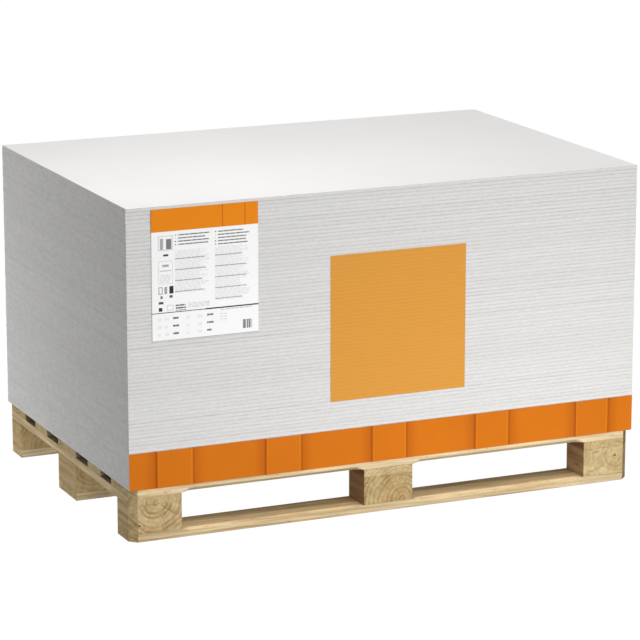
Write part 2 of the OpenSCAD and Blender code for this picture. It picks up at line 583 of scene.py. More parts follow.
@dataclass(frozen=True)
class PineFinish:
    """Sawn pine, read from how far each point lies from its log's heart."""

    name: str
    deep: Colour
    pale: Colour
    end: Colour
    # the next colour: painted shade on faces that look into the pallet or lie under the deck, and on the
    # base boards painted light on faces that look up
    shade_and_light: Colour
    # the next colour: painted shade on the cross boards' inner flanks and on the corner cuts at the right
    apart: Colour
    late: Colour = (0.66, 0.56, 0.44)
    knot: Colour = (0.17, 0.09, 0.04)
    blush: Colour = (0.91, 0.91, 0.91)
    bleach: Colour = (1.08, 1.08, 1.08)
    # painted shade towards the pallet's inside, across the rim span, on faces that take the painted tone
    inside_shade: float = 1.0
    rim: Span = (0.40, 0.475)
    # painted shade at the outer ends of the front and back edges
    end_shade: float = 1.0
    end_shade_along: Span = (0.52, 0.66)
    end_shade_out: Span = (0.485, 0.495)
    ring: float = 10.5 * MM
    ring_rise: Span = (0.0, 0.62)
    ring_fall: Span = (0.66, 1.0)
    years: Span = (0.35, 1.0)
    warp: float = 9.0 * MM
    ripple: float = 3.4 * MM
    late_share: float = 0.85
    late_span: Span = (0.32, 0.68)
    late_fade: float = 0.3
    side_figure: float = 1.0
    knot_share: float = 0.8
    knot_repeats: Triple = (2.6, 9.0, 9.0)
    knot_reach: Span = (0.05, 0.085)
    swirl_reach: Span = (0.04, 0.34)
    knot_draws: Span = (0.70, 0.74)
    speck_share: float = 0.4
    speck_span: Span = (0.66, 0.76)
    ray_share: float = 0.45
    ray_count: float = 17.0
    ray_drift: Triple = (3.0, 14.0, 14.0)
    check_share: float = 0.5
    check_wide: float = 0.012
    check_span: Span = (0.50, 0.60)
    check_turns: Triple = (40.0, 1.7, 0.5)
    mottle_span: Span = (0.28, 0.72)
    mottle_tone: Span = (0.80, 1.17)
    end_mottle: float = 0.55
    fibre_span: Span = (0.2, 0.8)
    fibre_tone: Span = (0.91, 1.08)
    worn_tone: float = 0.93
    fibre_height: float = 0.5
    heights: tuple[float, ...] = (0.35, 0.25, 0.4, -1.5)
    bends: Cloud = Cloud((1.6, 14.0, 14.0))
    ripples: Cloud = Cloud((6.0, 70.0, 70.0))
    patches: Cloud = Cloud((2.4, 27.0, 27.0))
    mottles: Cloud = Cloud((5.0, 95.0, 95.0), 3.0, 0.65)
    bands: Cloud = Cloud((1.1, 34.0, 34.0))
    fibres: Cloud = Cloud((9.0, 520.0, 520.0), 3.0, 0.6)
    specks: Cloud = Cloud((40.0, 210.0, 210.0), 1.0)
    saw_marks: Cloud = Cloud((260.0, 24.0, 24.0))

    def material(self) -> Material:
        """Build the rings, blotches, fibres, knots and drying checks.

        Returns:
            The material.
        """
        coat = Coat(self.name, roughness=0.78, specular=0.12)
        bench = coat.bench
        grain = bench.attribute("grain", "Vector")
        tint = bench.attribute("tint")
        cuts = bench.parts(bench.attribute("cut", "Vector"))
        bend = self.bends.read(bench, grain)
        fibres = self.fibres.read(bench, grain)
        mottle = self.mottles.read(bench, grain)
        knots, swirl = self.knots(bench, grain)
        late = self.figured(bench, grain, self.rings(bench, grain, bend, swirl), cuts[0])
        checks = self.checks(bench, grain, tint, bend)
        colour = self.ground(coat, tint, cuts)
        ringed = bench.blend(1.0, colour, self.late, "MULTIPLY")
        colour = bench.blend(bench.times(late, self.late_share), colour, ringed)
        blotch = bench.math("SUBTRACT", bench.ramp(mottle, *self.mottle_span, *self.mottle_tone), 1.0)
        blotch = bench.times(blotch, bench.ramp(cuts[0], 0.0, 1.0, 1.0, self.end_mottle))
        colour = bench.dim(colour, bench.math("ADD", blotch, 1.0))
        colour = bench.dim(colour, bench.ramp(fibres, *self.fibre_span, *self.fibre_tone))
        bands = bench.ramp(self.bands.read(bench, grain), *CLOUD_SPAN)
        colour = bench.blend(1.0, colour, bench.blend(bands, self.blush, self.bleach), "MULTIPLY")
        rays = bench.swing(self.rays(bench, grain), bench.times(cuts[0], self.ray_share), 1.0)
        colour = bench.dim(colour, rays)
        specks = bench.ramp(self.specks.read(bench, grain), *self.speck_span)
        for share in (bench.times(specks, self.speck_share), knots, checks):
            colour = bench.blend(share, colour, self.knot)
        worn = bench.ramp(bench.attribute("worn"), 0.0, 1.0, 1.0, self.worn_tone)
        coat.paint(bench.dim(colour, worn))
        relief = bench.times(fibres, self.fibre_height)
        patterns = (late, self.saw_marks.read(bench, grain), mottle, checks)
        for pattern, height in zip(patterns, self.heights):
            relief = bench.math("MULTIPLY_ADD", pattern, height, relief)
        coat.emboss(relief, depth=0.5 * MM, strength=0.5)
        return coat.material

    def ground(self, coat: Coat, tint: Socket, cuts: list[Socket]) -> Socket:
        """Lay the wood's plain tone and its end grain's tone, with painted shade and light on some faces,
        towards the pallet's inside and at the outer ends.

        Args:
            coat: the wood's material.
            tint: the piece's own number.
            cuts: how far a face is sawn across, takes painted shade or light, and takes the painted shade of
                flanks and corner cuts.

        Returns:
            The colour.
        """
        bench = coat.bench
        colour = bench.blend(tint, self.deep, self.pale)
        # the end grain's tone, then the painted shade or light of some faces, then the painted shade of
        # inner flanks and corner cuts
        for share, tone in zip(cuts, (self.end, self.shade_and_light, self.apart)):
            colour = bench.blend(share, colour, bench.blend(1.0, colour, tone, "MULTIPLY"))
        # painted shade at the outer ends of the front and back edges
        along, reach = (bench.math("ABSOLUTE", part) for part in bench.parts(coat.place)[:2])
        shaded_end = bench.times(bench.ramp(along, *self.end_shade_along), bench.ramp(reach, *self.end_shade_out))
        colour = bench.dim(colour, bench.ramp(shaded_end, 0.0, 1.0, 1.0, self.end_shade))
        # painted shade towards the pallet's inside
        shade = bench.dim(colour, bench.ramp(reach, *self.rim, self.inside_shade, 1.0))
        return bench.blend(cuts[1], colour, shade)

    def rings(self, bench: Bench, grain: Socket, bend: Socket, swirl: Socket) -> Socket:
        """Draw the year rings.

        Args:
            bench: the bench to build on.
            grain: the place in the log.
            bend: the noise that bends the rings most.
            swirl: how far the rings turn round a knot.

        Returns:
            How much late wood there is.
        """
        _, across, height = bench.parts(grain)
        squares = bench.math("MULTIPLY_ADD", across, across, bench.times(height, height))
        radius = bench.math("MULTIPLY_ADD", swirl, self.ring * 2.0, bench.math("SQRT", squares))
        radius = bench.swing(bend, self.warp * 2.0, radius)
        radius = bench.swing(self.ripples.read(bench, grain), self.ripple * 2.0, radius)
        phase = bench.math("DIVIDE", radius, self.ring)
        year = bench.ramp(bench.chance(bench.math("FLOOR", phase)), 0.0, 1.0, *self.years)
        return bench.times(bench.hump(bench.math("FRACT", phase), self.ring_rise, self.ring_fall), year)

    def figured(self, bench: Bench, grain: Socket, late: Socket, end: Socket) -> Socket:
        """Weaken the rings in patches, and by the piece's own figure.

        Args:
            bench: the bench to build on.
            grain: the place in the log.
            late: how much late wood there is.
            end: how far a face is sawn across.

        Returns:
            How much of the late wood shows.
        """
        fade = bench.ramp(self.patches.read(bench, grain), *self.late_span, 1.0, self.late_fade)
        figure = bench.math("SUBTRACT", bench.attribute("figure"), self.side_figure)
        return bench.times(late, fade, bench.math("MULTIPLY_ADD", end, figure, self.side_figure))

    def rays(self, bench: Bench, grain: Socket) -> Socket:
        """Draw the fine rays that run out from the heart across the rings.

        Args:
            bench: the bench to build on.
            grain: the place in the log.

        Returns:
            The rays, from 0 to 1.
        """
        way = bench.vector("NORMALIZE", bench.vector("MULTIPLY", grain, (0.0, 1.0, 1.0)))
        drift = bench.vector("MULTIPLY", grain, self.ray_drift)
        spread = bench.vector("MULTIPLY", way, (0.0, self.ray_count, self.ray_count))
        return bench.noise(bench.vector("ADD", spread, drift), 2.0, 0.6)

    def knots(self, bench: Bench, grain: Socket) -> tuple[Socket, Socket]:
        """Scatter a few knots along the boards.

        Args:
            bench: the bench to build on.
            grain: the place in the log.

        Returns:
            How much of the knot's colour shows, and how far the rings swirl round it.
        """
        place = bench.vector("MULTIPLY", grain, self.knot_repeats)
        cells = bench.add("ShaderNodeTexVoronoi", {"Vector": place, "Scale": 1.0, "Randomness": 1.0})
        away = cells.outputs["Distance"]
        there = bench.ramp(bench.parts(cells.outputs["Color"])[0], *self.knot_draws)
        near = bench.times(bench.ramp(away, *self.knot_reach, 1.0, 0.0), there, self.knot_share)
        return near, bench.times(bench.ramp(away, *self.swirl_reach, 1.0, 0.0), there)

    def checks(self, bench: Bench, grain: Socket, tint: Socket, bend: Socket) -> Socket:
        """Draw thin drying cracks that run out from the heart.

        Args:
            bench: the bench to build on.
            grain: the place in the log.
            tint: the piece's own number.
            bend: the noise that bends the rings.

        Returns:
            How much of the crack shows.
        """
        _, across, height = bench.parts(grain)
        own, turn, sway = self.check_turns
        spin = bench.times(bench.math("ARCTAN2", height, across), turn)
        spin = bench.math("MULTIPLY_ADD", tint, own, spin)
        spin = bench.math("MULTIPLY_ADD", bend, sway, spin)
        feeds = {"W": spin, "Scale": 1.0, "Detail": 0.0}
        wander = bench.add("ShaderNodeTexNoise", feeds, noise_dimensions="1D").outputs[0]
        line = bench.ramp(bench.apart(wander, 0.5), 0.0, self.check_wide, 1.0, 0.0)
        return bench.times(line, bench.ramp(bend, *self.check_span), self.check_share)


@dataclass(frozen=True)
class SteelFinish:
    """Bright drawn steel that has begun to dull."""

    bright: Colour = (0.42, 0.41, 0.40)
    dull: Colour = (0.20, 0.17, 0.15)
    dull_span: Span = (0.35, 0.7)
    patches: Cloud = Cloud((260.0, 260.0, 260.0), 3.0, 0.6)

    def material(self) -> Material:
        """Build the dulled steel.

        Returns:
            The material.
        """
        coat = Coat("nail_steel", roughness=0.45, specular=0.5)
        coat.fix("Metallic", 0.9)
        bench = coat.bench
        patches = self.patches.read(bench, coat.place)
        coat.paint(bench.blend(bench.ramp(patches, *self.dull_span), self.bright, self.dull))
        coat.emboss(patches, depth=0.2 * MM, strength=0.4)
        return coat.material


@dataclass(frozen=True)
class FoldShading:
    """A soft band of painted shade or of painted highlight along each fold, from how far outside a panel it
    rises and falls.
    """

    tone: Colour
    share: float
    rise: Span
    fall: Span


@dataclass(frozen=True)
class CardFinish:
    """Coated orange card, with painted shade and a painted highlight beside its folds."""

    tone: Colour = (0.622, 0.164, 0.0063)
    # painted shade outside each fold, a painted highlight just inside it and a darker painted shade line at
    # its foot
    creases: tuple[FoldShading, ...] = (
        FoldShading((0.516, 0.120, 0.0047), 0.9, (-0.5 * MM, 1.5 * MM), (1.0 * MM, 42.0 * MM)),
        FoldShading((0.74, 0.235, 0.016), 0.35, (-7.0 * MM, -3.0 * MM), (-2.0 * MM, 0.0)),
        FoldShading((0.344, 0.070, 0.0033), 0.62, (-1.0 * MM, 0.6 * MM), (1.5 * MM, 9.0 * MM)),
    )
    fibre_spread: float = 0.07
    cloud_tone: Span = (0.97, 1.03)
    fibres: Cloud = Cloud((60.0, 60.0, 420.0), 3.0, 0.6)
    clouds: Cloud = Cloud((5.0, 5.0, 5.0))

    def material(self) -> Material:
        """Build the card, with a soft painted shade, a painted highlight and a dark painted shade line along
        each fold.

        Returns:
            The material.
        """
        coat = Coat("band_card", roughness=0.6, specular=0.08)
        bench = coat.bench
        away = bench.attribute("fold")
        colour = bench.plain(self.tone)
        # paint each fold's shade, highlight and shade line
        for crease in self.creases:
            share = bench.times(bench.hump(away, crease.rise, crease.fall), crease.share)
            colour = bench.blend(share, colour, crease.tone)
        fibres = self.fibres.read(bench, coat.place)
        even = bench.ramp(self.clouds.read(bench, coat.place), *CLOUD_SPAN, *self.cloud_tone)
        coat.paint(bench.dim(colour, bench.swing(fibres, self.fibre_spread, even)))
        coat.emboss(fibres, depth=0.15 * MM, strength=0.3)
        return coat.material


@dataclass(frozen=True)
class FilmFinish:
    """Thin amber print on film, with painted shade where it dips into the sheets' joints."""

    tone: Colour = (0.680, 0.308, 0.0525)
    # joint: the film's colour darkened by painted shade where it dips over a joint
    joint: Colour = (0.633, 0.281, 0.0473)
    dip_span: Span = (0.1, 0.9)
    grain_tone: Span = (0.96, 1.04)
    grains: Cloud = Cloud((30.0, 30.0, 500.0), 3.0, 0.6)

    def material(self) -> Material:
        """Build the film, with painted shade where it dips over the joints.

        Returns:
            The material.
        """
        coat = Coat("square_film", roughness=0.6, specular=0.08)
        bench = coat.bench
        grains = self.grains.read(bench, coat.place)
        # painted shade where the film dips over a joint
        dip = bench.ramp(bench.attribute("dip"), *self.dip_span)
        colour = bench.blend(dip, self.tone, self.joint)
        coat.paint(bench.dim(colour, bench.ramp(grains, *WIDE_CLOUD_SPAN, *self.grain_tone)))
        coat.emboss(grains, depth=0.15 * MM, strength=0.3)
        return coat.material


@dataclass(frozen=True)
class Print:
    """One plain mark on the label, in millimetres from its top left corner."""

    mark: Mark
    left: float
    top: float
    wide: float
    high: float
    dark: float = 0.8
    pitch: float = 8.35
    cover: float = 0.5
    ragged: float = 0.22
    gap: float = 1.0


@dataclass
class Press:
    """Prints marks on a label, whose places across and down it are given in millimetres."""

    bench: Bench
    right: Socket
    down: Socket
    beats: tuple[Pair, ...] = ((0.83, 42.0), (0.47, 106.0))
    gap_span: Span = (-1.25, -0.9)
    row_seed: float = 0.37

    def ink(self, mark: Print) -> Socket:
        """Draw one mark.

        Args:
            mark: what is printed, and where.

        Returns:
            How much ink there is.
        """
        bench = self.bench
        inside = self.within(mark, 0.0)
        if mark.mark is Mark.FRAME:
            inside = bench.math("SUBTRACT", inside, self.within(mark, mark.cover))
        if mark.mark is Mark.LINES:
            inside = bench.times(inside, self.strokes(mark))
        if mark.mark is Mark.BARS:
            chance = bench.chance(bench.math("FLOOR", bench.math("DIVIDE", self.right, mark.pitch)))
            inside = bench.times(inside, bench.math("LESS_THAN", chance, mark.cover))
        return bench.times(inside, mark.dark)

    def strokes(self, mark: Print) -> Socket:
        """Break a block into rows of plain strokes of uneven length.

        Args:
            mark: the block of rows.

        Returns:
            How much of a stroke there is.
        """
        bench = self.bench
        row = bench.math("DIVIDE", bench.math("SUBTRACT", self.down, mark.top), mark.pitch)
        seed = mark.left * self.row_seed + mark.top
        chance = bench.chance(bench.math("ADD", bench.math("FLOOR", row), seed))
        end = mark.left + mark.wide
        reach = bench.ramp(chance, 0.0, 1.0, end - mark.wide * mark.ragged, end)
        waves = []
        for beat, turn in self.beats:
            sweep = bench.math("MULTIPLY_ADD", self.right, beat, bench.times(chance, turn))
            waves.append(bench.math("SINE", sweep))
        gaps = bench.ramp(bench.math("ADD", *waves), *self.gap_span, 1.0 - mark.gap, 1.0)
        stroke = bench.math("LESS_THAN", bench.math("FRACT", row), mark.cover)
        return bench.times(stroke, bench.math("LESS_THAN", self.right, reach), gaps)

    def within(self, mark: Print, inset: float) -> Socket:
        """Tell whether a place lies in a mark's rectangle.

        Args:
            mark: the mark.
            inset: how far the rectangle is drawn in.

        Returns:
            One inside it, zero outside.
        """
        bench = self.bench
        sides = ((self.right, mark.left, mark.wide), (self.down, mark.top, mark.high))
        tests = []
        for place, start, size in sides:
            away = bench.apart(place, start + size / 2.0)
            tests.append(bench.math("LESS_THAN", away, size / 2.0 - inset))
        return bench.times(*tests)


@dataclass(frozen=True)
class LabelFinish:
    """White label paper with an orange head, plain marks where words would stand and a painted shadow along
    its left and bottom edges.
    """

    paper: Colour = (0.935, 0.933, 0.93)
    paper_tone: Span = (0.975, 1.02)
    ink: Colour = (0.035, 0.035, 0.04)
    head: Colour = (0.815, 0.247, 0.009)
    head_deep: float = 60.0
    crease: Colour = (0.50, 0.12, 0.008)
    crease_share: float = 0.8
    crease_wide: Span = (0.6, 2.2)
    creases: Pair = (200.0, 263.0)
    # edge: painted shadow along the label's left and bottom edges
    edge: Colour = (0.12, 0.115, 0.11)
    edge_shadow_share: float = 0.7
    edge_shadow_wide: Span = (0.3, 2.6)
    foot: float = 350.0
    fibres: Cloud = Cloud((420.0, 420.0, 420.0))

    def material(self, marks: list[Print]) -> Material:
        """Build the paper, its head, its marks and the painted shadow along its left and bottom edges.

        Args:
            marks: what is printed, from the first to the last.

        Returns:
            The material.
        """
        coat = Coat("label_paper", roughness=0.6, specular=0.08)
        bench = coat.bench
        right, down, _ = bench.parts(bench.attribute("sheet", "Vector"))
        press = Press(bench, right, down)
        fibres = self.fibres.read(bench, coat.place)
        inked = bench.times(right, 0.0)
        for mark in marks:
            inked = bench.math("MAXIMUM", inked, press.ink(mark))
        even = bench.ramp(fibres, *WIDE_CLOUD_SPAN, *self.paper_tone)
        colour = bench.dim(bench.plain(self.paper), even)
        colour = bench.blend(inked, colour, self.ink)
        tone = bench.plain(self.head)
        for crease in self.creases:
            near = bench.ramp(bench.apart(right, crease), *self.crease_wide, self.crease_share, 0.0)
            tone = bench.blend(near, tone, self.crease)
        colour = bench.blend(bench.math("LESS_THAN", down, self.head_deep), colour, tone)
        # painted shadow along the left and bottom edges
        rim = bench.math("MINIMUM", right, bench.math("SUBTRACT", self.foot, down))
        edge = bench.ramp(rim, *self.edge_shadow_wide, self.edge_shadow_share, 0.0)
        coat.paint(bench.blend(edge, colour, self.edge))
        coat.emboss(fibres, depth=0.1 * MM, strength=0.25)
        return coat.material


@dataclass
class SheetStack:
    """The stack of gypsum fibre sheets, each a little out of line and frayed along its sawn edges.

    A row of the profile says how far it lies in and below the face, both in arrises, how much of the
    joint's painted shade it has and how far it gives way to fraying.
    """

    nodes: dict[str, Piece]
    finish: GypsumFinish
    node: str = "sheets"
    arris: float = 0.7 * MM
    profile: tuple[Quad, ...] = (
        (1.0, 0.0, 1.0, 0.8), (0.0, 1.0, 0.55, 1.0), (0.0, 4.2, 0.0, 0.4),
    )
    edge_step: float = 27.0 * MM
    fray: float = 0.35 * MM
    chip: float = 1.3 * MM
    chip_span: Span = (0.70, 0.80)
    noises: tuple[Pair, Pair] = ((16.0, 3.0), (34.0, 1.0))
    noise_shift: float = 60.0
    short_joint: float = 0.55
    sharp: float = 30.0
    level: float = 0.99
    seed: int = 11

    def build(self) -> None:
        """Build the stack from the CAD sheets' places."""
        centres, size = self.read()
        pattern = self.pattern(size)
        spots = bmesh.new()
        for centre in centres:
            spots.verts.new(centre)
        piece = link("sheet_stack", spots)
        finish = self.finish.material()
        self.tree().run(piece, Sheet=pattern, Fray=self.fray, Chip=self.chip, Seed=self.seed, Finish=finish)
        bpy.data.objects.remove(pattern)
        crisp(piece, self.sharp)
        hand_over(piece, "gypsum", self.node)

    def read(self) -> tuple[list[Vector], Vector]:
        """Read each sheet's place from the CAD node.

        Returns:
            The sheets' centres, from the lowest up, and the size that they share.
        """
        mesh = self.nodes[self.node].data
        levels = set()
        for face in mesh.polygons:
            if abs(face.normal.z) > self.level:
                levels.add(round(mesh.vertices[face.vertices[0]].co.z, 6))
        ordered = sorted(levels)
        centres = []
        size = Vector((0.0, 0.0, 0.0))
        for low, high in zip(ordered[0::2], ordered[1::2]):
            points = (vertex.co for vertex in mesh.vertices)
            least, most = extent([co for co in points if low - TINY <= co.z <= high + TINY])
            centres.append((least + most) / 2.0)
            size = most - least
        return centres, size

    def joints(self) -> list[float]:
        """Find the heights of the joints between the sheets."""
        centres, _ = self.read()
        return [(lower.z + upper.z) / 2.0 for lower, upper in zip(centres, centres[1:])]

    def pattern(self, size: Vector) -> Piece:
        """Make the one sheet that the tree repeats.

        Args:
            size: the sheet's length, width and thickness.

        Returns:
            The pattern sheet, centred on the origin.
        """
        half = size / 2.0
        rim = self.rim(half)
        lower = [(-1.0, *row) for row in self.profile]
        upper = [(1.0, *row) for row in reversed(self.profile)]
        mesh = bmesh.new()
        joint = mesh.verts.layers.float.new("joint")
        give = mesh.verts.layers.float_vector.new("give")
        loops = []
        for side, inset, depth, joint_shade, softness in lower + upper:
            height = Vector((0.0, 0.0, side * (half.z - depth * self.arris)))
            loop = []
            for place, outward in rim:
                vertex = mesh.verts.new(place - outward * (inset * self.arris) + height)
                # how much of the joint's grey painted shade this point carries, less on the short ends
                vertex[joint] = joint_shade * (self.short_joint if abs(outward.x) > abs(outward.y) else 1.0)
                vertex[give] = outward * softness
                loop.append(vertex)
            loops.append(loop)
        bridge(mesh, loops, closed=True, smooth=True)
        return link("sheet_pattern", mesh)

    def rim(self, half: Vector) -> list[tuple[Vector, Vector]]:
        """Walk round the sheet's edge.

        Args:
            half: half of the sheet's size.

        Returns:
            Each point on the edge and the way out of the sheet there.
        """
        corners = [Vector((sx, sy, 0.0)) for sx, sy in ((-1, -1), (1, -1), (1, 1), (-1, 1))]
        walk = []
        for first, second in zip(corners, corners[1:] + corners[:1]):
            start, end = first * half, second * half
            walk.append((start, first))
            for share in steps(0.0, 1.0, self.edge_step / (end - start).length)[1:-1]:
                walk.append((start.lerp(end, share), (first + second) / 2.0))
        return walk

    def tree(self) -> ShapeTree:
        """Build the tree that lays the sheets, frays their edges and dresses them.

        Returns:
            The tree.
        """
        tree = ShapeTree("lay_sheets")
        bench = tree.bench
        sheet, fray, chip, seed, finish = tree.ask(
            Sheet=Input.PIECE, Fray=Input.LENGTH, Chip=Input.LENGTH, Seed=Input.COUNT, Finish=Input.FINISH
        )
        feeds = {"Geometry": tree.scatter(sheet), "Name": "tone", "Value": tree.draw(1.0, seed)}
        kind = {"data_type": "FLOAT", "domain": "INSTANCE"}
        laid = bench.add("GeometryNodeStoreNamedAttribute", feeds, **kind).outputs[0]
        real = bench.add("GeometryNodeRealizeInstances", {0: laid}).outputs[0]
        place = bench.add("GeometryNodeInputPosition").outputs[0]
        tone = bench.add("GeometryNodeInputNamedAttribute", {0: "tone"}, data_type="FLOAT").outputs[0]
        give = bench.add("GeometryNodeInputNamedAttribute", {0: "give"}, data_type="FLOAT_VECTOR").outputs[0]
        shift = bench.times(tone, self.noise_shift)
        clouds = []
        for scale, detail in self.noises:
            feeds = {"Vector": place, "W": shift, "Scale": scale, "Detail": detail}
            clouds.append(bench.add("ShaderNodeTexNoise", feeds, noise_dimensions="4D").outputs[0])
        broken = bench.times(chip, bench.ramp(clouds[1], *self.chip_span))
        inward = bench.math("ADD", bench.times(fray, clouds[0]), broken)
        offset = bench.dim(give, bench.times(inward, -1.0))
        moved = bench.add("GeometryNodeSetPosition", {"Geometry": real, "Offset": offset}).outputs[0]
        tree.end(moved, finish)
        return tree


@dataclass(frozen=True)
class Log:
    """How a piece was cut from its log: the fibres' way, the heart's place and its slant."""

    grain: Grain
    heart: Pair
    slant: Pair
    start: float
    tint: float

    def read(self, place: Vector, centre: Vector) -> Vector:
        """Turn a place into a place in the log.

        Args:
            place: the point in the frame.
            centre: the piece's middle.

        Returns:
            The distance along the fibres and the two distances from the heart.
        """
        along = place[self.grain.value]
        side = place[1 - self.grain.value]
        run = along - centre[self.grain.value]
        across = side - self.heart[0] - self.slant[0] * run
        height = place.z - self.heart[1] - self.slant[1] * run
        return Vector((along + self.start, across, height))


@dataclass
class Pallet:
    """The pallet's deck boards, cross boards, blocks and base boards.

    A cut gives the spans of the heart's two distances from a piece's middle and of its two slants. A
    face looks a way if its normal reaches that far along it.
    """

    nodes: dict[str, Piece]
    boards: PineFinish
    bases: PineFinish
    blocks: PineFinish
    merge: float = 0.01 * MM
    flat: float = 0.4
    sharp: float = 20.0
    edge_round: float = 1.1 * MM
    tints: tuple[tuple[str, float], ...] = (
        ("deck_board_front", 0.24), ("deck_board_back", 0.0), ("cross_board_right", 0.05),
        ("block_front_left", 0.45), ("block_front_centre", 0.1), ("block_front_right", 0.55),
        ("deck", 0.34), ("cross_board_left", 0.12), ("cross", 0.22), ("base_board_front", 0.1),
        ("base_board_middle", 0.2), ("base", 0.38), ("block", 0.45),
    )
    figures: tuple[tuple[str, float], ...] = (
        ("block_front_left", 1.15), ("block_front_centre", 1.2), ("block_front_right", 0.5),
    )
    tint_spread: float = 0.1
    seed: str = "pine"
    log_length: float = 40.0
    block_cut: tuple[Span, ...] = ((-0.07, 0.07), (-0.05, 0.05), (-0.05, 0.05), (-0.05, 0.05))
    board_cut: tuple[Span, ...] = ((-0.05, 0.05), (-0.05, -0.11), (-0.012, 0.012), (-0.014, 0.014))
    hearts: tuple[tuple[str, float, float], ...] = (
        ("left", -674.0 * MM, 104.0 * MM),
        ("centre", 40.0 * MM, 26.0 * MM),
        ("right", 703.0 * MM, 74.0 * MM),
    )
    pits: tuple[tuple[str, float, float, float], ...] = (
        ("block_front_left", -722.0 * MM, 44.9 * MM, 3.4 * MM),
        ("block_front_right", 701.0 * MM, 74.5 * MM, 3.8 * MM),
        ("block_front_right", 713.0 * MM, 61.0 * MM, 2.2 * MM),
    )
    pit_rough: Span = (0.85, 1.15)
    pit_stretch: Triple = (1.25, 2.4, 1.0)
    splits: tuple[tuple[str, tuple[Pair, ...]], ...] = (
        ("block_front_right", ((610, 47), (616, 37), (626, 34), (635, 37), (642, 41), (655, 46), (662, 54))),
        ("block_front_right", ((628, 88), (640, 90), (652, 88.5))),
        ("block_front_centre", ((-73.5, 79), (-66, 84), (-55, 85.5))),
    )
    split_wide: float = 0.9 * MM
    split_end: float = 0.25
    split_foot: float = 0.05
    split_deep: float = 6.0 * MM
    nail_hole: Pair = (7.75 * MM, 4.65 * MM)
    nail_hole_deep: float = 1.1 * MM
    nail_hole_sides: int = 20
    nail_places: tuple[Pair, ...] = ((-1.0, -1.0), (0.0, 1.0), (1.0, -1.0))
    nail_spread: Pair = (34.0 * MM, 22.0 * MM)
    clear: Pair = (0.05, 0.03)
    looks_along: float = 0.7
    looks_inward: float = 0.9
    looks_up: float = 0.98
    looks_up_bevelled: float = 0.8
    looks_across: float = 0.6
    marks: tuple[tuple[str, str, str], ...] = (
        ("grain", "FLOAT_VECTOR", "POINT"), ("tint", "FLOAT", "POINT"),
        ("figure", "FLOAT", "POINT"), ("cut", "FLOAT_VECTOR", "FACE"),
    )

    def build(self) -> None:
        """Build every piece of the pallet."""
        board_wood = self.boards.material()
        woods = {
            "deck": (board_wood, "board_wood"),
            "cross": (board_wood, "board_wood"),
            "base": (self.bases.material(), "board_wood"),
            "block": (self.blocks.material(), "block_wood"),
        }
        for name in sorted(self.nodes):
            kind = name.split("_")[0]
            if kind in woods:
                self.piece(name, *woods[kind])

    def piece(self, name: str, wood: Material, slot: str) -> None:
        """Round a CAD piece's edges, cut its small holes and mark how it lay in its log.

        Args:
            name: the CAD node's name.
            wood: its material.
            slot: the record's material slot.
        """
        mesh = bmesh.new()
        mesh.from_mesh(self.nodes[name].data)
        bmesh.ops.remove_doubles(mesh, verts=mesh.verts, dist=self.merge)
        flat = math.radians(self.flat)
        bmesh.ops.dissolve_limit(mesh, angle_limit=flat, verts=mesh.verts, edges=mesh.edges)
        turn = math.radians(self.sharp)
        sharp = [edge for edge in mesh.edges if edge.calc_face_angle_signed(0.0) > turn]
        worn = mesh.faces.layers.float.new("worn")
        made = bmesh.ops.bevel(
            mesh, geom=sharp, offset=self.edge_round, offset_type="OFFSET", segments=2,
            profile=0.5, affect="EDGES", clamp_overlap=True,
        )
        for face in made["faces"]:
            face[worn] = 1.0
            face.smooth = True
        piece = link("wood_" + name, mesh, wood)
        cutter = self.cutter(name)
        if cutter:
            cut = piece.modifiers.new("holes", "BOOLEAN")
            cut.operation = "DIFFERENCE"
            cut.solver = "EXACT"
            cut.object = cutter
            settle(piece)
            bpy.data.objects.remove(cutter)
        self.mark(piece, self.log(name), name)
        hand_over(piece, slot, name)

    def log(self, name: str) -> Log:
        """Choose how a piece was cut from its log.

        The front blocks and the cross boards over them share their heart's place.

        Args:
            name: the CAD node's name.

        Returns:
            The log.
        """
        low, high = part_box(name)
        centre = (low + high) / 2.0
        chance = random.Random(f"{self.seed}-{name}")
        kind, place = name.split("_")[0], name.split("_")[-1]
        tints = dict(self.tints)
        tint = tints.get(name, tints[kind]) + chance.uniform(-self.tint_spread, self.tint_spread)
        if kind == "cross" or name.startswith("block_front_"):
            heart = {column: (x, z) for column, x, z in self.hearts}[place]
            start = random.Random(f"{self.seed}-{place}").uniform(0.0, self.log_length)
            return Log(Grain.ALONG_Y, heart, (0.0, 0.0), start, tint)
        start = chance.uniform(0.0, self.log_length)
        grain = Grain.ALONG_Y if kind == "block" else Grain.ALONG_X
        spans = self.block_cut if kind == "block" else self.board_cut
        side, rise, *slant = [chance.uniform(*span) for span in spans]
        heart = (centre[1 - grain.value] + side, centre.z + rise)
        return Log(grain, heart, tuple(slant), start, tint)

    def mark(self, piece: Piece, log: Log, name: str) -> None:
        """Store each point's place in its log, the piece's tint, whether each face is sawn across and where
        it takes painted shade or light.

        Args:
            piece: the wooden piece.
            log: how it was cut.
            name: the CAD node's name.
        """
        mesh = piece.data
        places = [vertex.co.copy() for vertex in mesh.vertices]
        least, most = extent(places)
        centre = (least + most) / 2.0
        strength = dict(self.figures).get(name, 1.0)
        for kind in self.marks:
            mesh.attributes.new(*kind)
        grain, tint, figure, cut = (mesh.attributes[kind[0]].data for kind in self.marks)
        for i, place in enumerate(places):
            grain[i].vector = log.read(place, centre)
            tint[i].value = log.tint
            figure[i].value = strength
        for i, face in enumerate(mesh.polygons):
            end = abs(face.normal[log.grain.value]) > self.looks_along
            # end grain, then painted shade or light, then the painted shade of inner flanks and corner cuts
            cut[i].vector = (end, self.takes_shade_and_light(name, face), self.apart(name, face))

